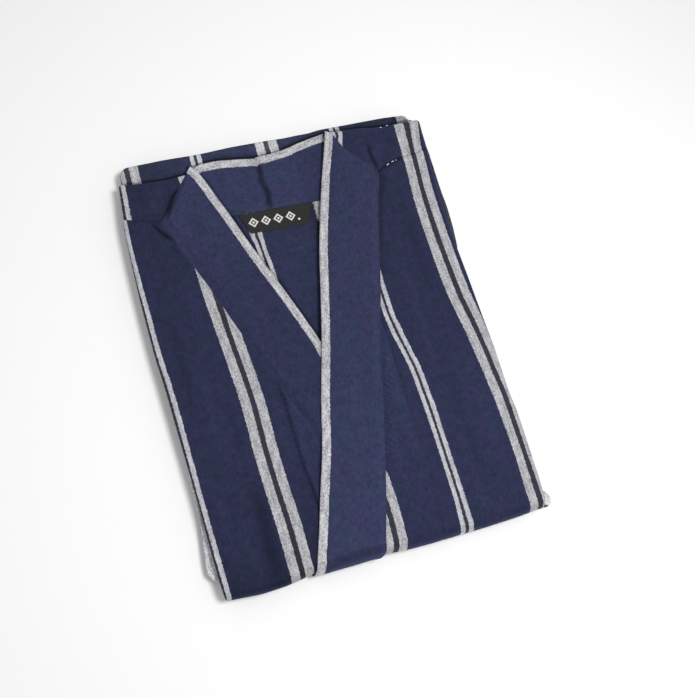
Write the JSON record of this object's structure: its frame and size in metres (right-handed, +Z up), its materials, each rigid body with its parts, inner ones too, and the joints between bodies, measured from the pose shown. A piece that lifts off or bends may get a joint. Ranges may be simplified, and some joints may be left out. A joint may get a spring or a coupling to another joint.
{
  "type": "folded cotton yukata robe",
  "caption": "Cotton yukata robe folded into a flat packet, with crossed collar bands, striped fronts, folded edges and a woven neck label.",
  "frame": {"origin": "middle of the footprint, on the surface the packet lies on", "axes": "+Y towards the neck, +X towards the half that overlaps the other, +Z up from the surface"},
  "size_m": [0.3352, 0.4322, 0.0272],
  "materials": {
    "striped_cotton": "matt puckered cotton, navy with pale grey stripes",
    "collar_cotton": "matt puckered cotton, navy with one pale stripe along the folded edge",
    "woven_label": "smooth black woven tape with small off-white lozenges"
  },
  "bodies": {
    "root": {"folded_layers": "striped_cotton", "left_front": "striped_cotton", "right_front": "striped_cotton", "left_overlap": "striped_cotton", "right_overlap": "striped_cotton", "left_shoulder": "striped_cotton", "right_shoulder": "striped_cotton", "left_back": "striped_cotton", "right_back": "striped_cotton", "left_collar": "collar_cotton", "right_collar": "collar_cotton", "back_collar_left": "collar_cotton", "back_collar_right": "collar_cotton", "neck_label": "woven_label"}
  },
  "joints": []
}
